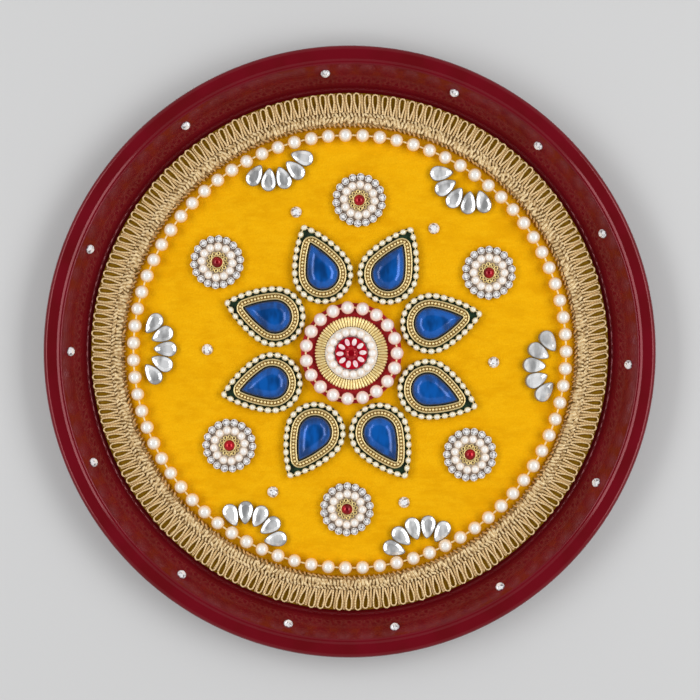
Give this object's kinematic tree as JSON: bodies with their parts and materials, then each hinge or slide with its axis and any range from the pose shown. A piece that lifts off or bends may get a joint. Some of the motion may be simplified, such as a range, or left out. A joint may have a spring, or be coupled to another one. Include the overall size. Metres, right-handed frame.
{
  "type": "puja thali",
  "caption": "Round shallow prayer plate with a sloping wall and flat lip, lined with velvet and decorated with gold lace, pearl strings and a flower of teardrop stones.",
  "frame": {"origin": "middle of the flat underside, on the table", "axes": "+Z up out of the tray; seen from above +X is right and +Y is up in the picture"},
  "size_m": [0.254, 0.254, 0.015],
  "materials": {
    "maroon_enamel": "gloss paint",
    "yellow_velvet": "velvet pile",
    "gold_lace": "metallic thread",
    "thread": "twisted thread",
    "red_felt": "felt",
    "green_felt": "felt",
    "pearl": "pearl lustre",
    "gold_metal": "gilt",
    "gilt_backing": "dull gilt",
    "silver_cup": "plated",
    "blue_stone": "foil-backed",
    "red_stone": "foil-backed",
    "red_enamel": "gloss",
    "pink_enamel": "gloss",
    "clear_stone": "foil-backed",
    "crystal": "foil-backed, faceted"
  },
  "bodies": {
    "root": {"border_pearls": "pearl", "border_thread": "thread", "clear_drops": "clear_stone", "field_crystals": "crystal", "lace_header": "gold_lace", "lace_loops": "gold_lace", "medallion_enamel_disc": "red_enamel", "medallion_enamel_petals": "pink_enamel", "medallion_felt": "red_felt", "medallion_fluted_ring": "gold_metal", "medallion_inner_pearls": "pearl", "medallion_pearls": "pearl", "medallion_red_stone": "red_stone", "medallion_thread": "thread", "petal_1_bezel": "gold_metal", "petal_1_chain": "pearl", "petal_1_stone": "blue_stone", "petal_2_bezel": "gold_metal", "petal_2_chain": "pearl", "petal_2_stone": "blue_stone", "petal_3_bezel": "gold_metal", "petal_3_chain": "pearl", "petal_3_stone": "blue_stone", "petal_4_bezel": "gold_metal", "petal_4_chain": "pearl", "petal_4_stone": "blue_stone", "petal_5_bezel": "gold_metal", "petal_5_chain": "pearl", "petal_5_stone": "blue_stone", "petal_6_bezel": "gold_metal", "petal_6_chain": "pearl", "petal_6_stone": "blue_stone", "petal_7_bezel": "gold_metal", "petal_7_chain": "pearl", "petal_7_stone": "blue_stone", "petal_8_bezel": "gold_metal", "petal_8_chain": "pearl", "petal_8_stone": "blue_stone", "petal_felts": "green_felt", "petal_threads": "thread", "rosette_1_crystals": "crystal", "rosette_1_pearls": "pearl", "rosette_2_crystals": "crystal", "rosette_2_pearls": "pearl", "rosette_3_crystals": "crystal", "rosette_3_pearls": "pearl", "rosette_4_crystals": "crystal", "rosette_4_pearls": "pearl", "rosette_5_crystals": "crystal", "rosette_5_pearls": "pearl", "rosette_6_crystals": "crystal", "rosette_6_pearls": "pearl", "rosette_bases": "gilt_backing", "rosette_caps": "gold_metal", "rosette_cups": "silver_cup", "rosette_red_stones": "red_stone", "thali_plate": "maroon_enamel", "velvet_disc": "yellow_velvet", "wall_crystals": "crystal"}
  },
  "joints": []
}
